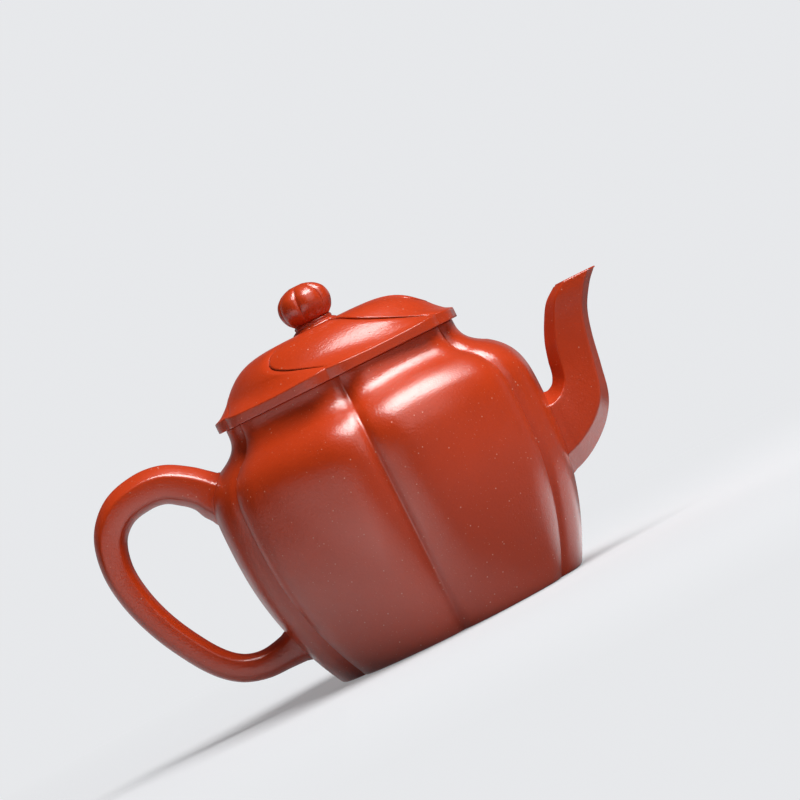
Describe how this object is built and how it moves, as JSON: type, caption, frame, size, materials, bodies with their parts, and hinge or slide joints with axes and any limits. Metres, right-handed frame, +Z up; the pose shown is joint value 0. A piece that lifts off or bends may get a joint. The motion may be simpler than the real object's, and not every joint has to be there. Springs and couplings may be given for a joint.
{
  "type": "teapot",
  "caption": "Six-lobed red clay teapot with drawn-in creases, faceted curved spout, ear-shaped handle and a lift-off lid with whirled petals and a lobed knob.",
  "frame": {"origin": "centre of the flat base, on the surface the pot stands on", "axes": "+Z up along the pot's axis, +X towards the spout, -X towards the handle"},
  "size_m": [0.1447, 0.088, 0.0939],
  "materials": {
    "red_clay": "satin unglazed",
    "inner_clay": "matte unglazed"
  },
  "bodies": {
    "pot": {"base_plate": "red_clay", "wall_panel_1": "red_clay", "wall_panel_2": "red_clay", "wall_panel_3": "red_clay", "wall_panel_4": "red_clay", "wall_panel_5": "red_clay", "wall_panel_6": "red_clay", "mouth_ring": "red_clay", "spout": "red_clay", "spout_strainer": "inner_clay", "handle": "red_clay"},
    "lid": {"lid_rim": "red_clay", "lid_dome": "red_clay", "lid_flange": "red_clay", "knob_collar": "red_clay", "knob": "red_clay"}
  },
  "joints": [
    {"name": "lid_lift", "type": "slide", "parent": "pot", "child": "lid", "axis": [0, 0, 1], "range_m": [0, 0.045]}
  ]
}
